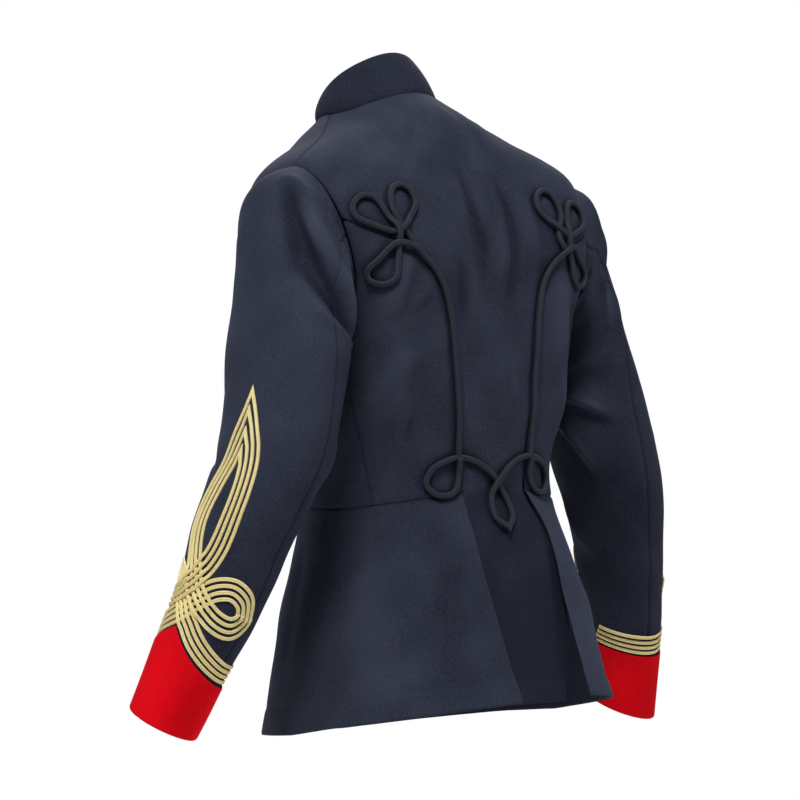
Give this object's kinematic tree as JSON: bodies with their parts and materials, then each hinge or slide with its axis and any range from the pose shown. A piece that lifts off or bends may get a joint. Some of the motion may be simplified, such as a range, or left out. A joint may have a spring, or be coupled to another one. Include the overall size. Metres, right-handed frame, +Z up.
{
  "type": "hussar officer's jacket",
  "caption": "Dark wool hussar jacket in its worn shape, empty: stand collar, skirted back with looped cord, sleeves with gold braid knots and pointed scarlet cuffs.",
  "frame": {"origin": "middle of the neck base, where the wearer's shoulders and neck carry the jacket", "axes": "+Z up, the front faces -Y, +X to the wearer's left"},
  "size_m": [0.7608, 0.4089, 0.7926],
  "materials": {
    "wool_navy": "milled wool with a soft nap",
    "wool_scarlet": "milled wool with a soft nap",
    "cord_black": "plaited worsted cord",
    "braid_gold": "gilt thread braid, soft shine"
  },
  "bodies": {
    "root": {"back": "wool_navy", "side_body_left": "wool_navy", "side_body_right": "wool_navy", "front_left": "wool_navy", "front_right": "wool_navy", "skirt_left": "wool_navy", "skirt_right": "wool_navy", "collar": "wool_navy", "sleeve_upper_left": "wool_navy", "sleeve_upper_right": "wool_navy", "sleeve_under_left": "wool_navy", "sleeve_under_right": "wool_navy", "cuff_left": "wool_scarlet", "cuff_right": "wool_scarlet", "back_cord": "cord_black", "braid_left_1": "braid_gold", "braid_left_2": "braid_gold", "braid_left_3": "braid_gold", "braid_left_4": "braid_gold", "braid_right_1": "braid_gold", "braid_right_2": "braid_gold", "braid_right_3": "braid_gold", "braid_right_4": "braid_gold"}
  },
  "joints": []
}
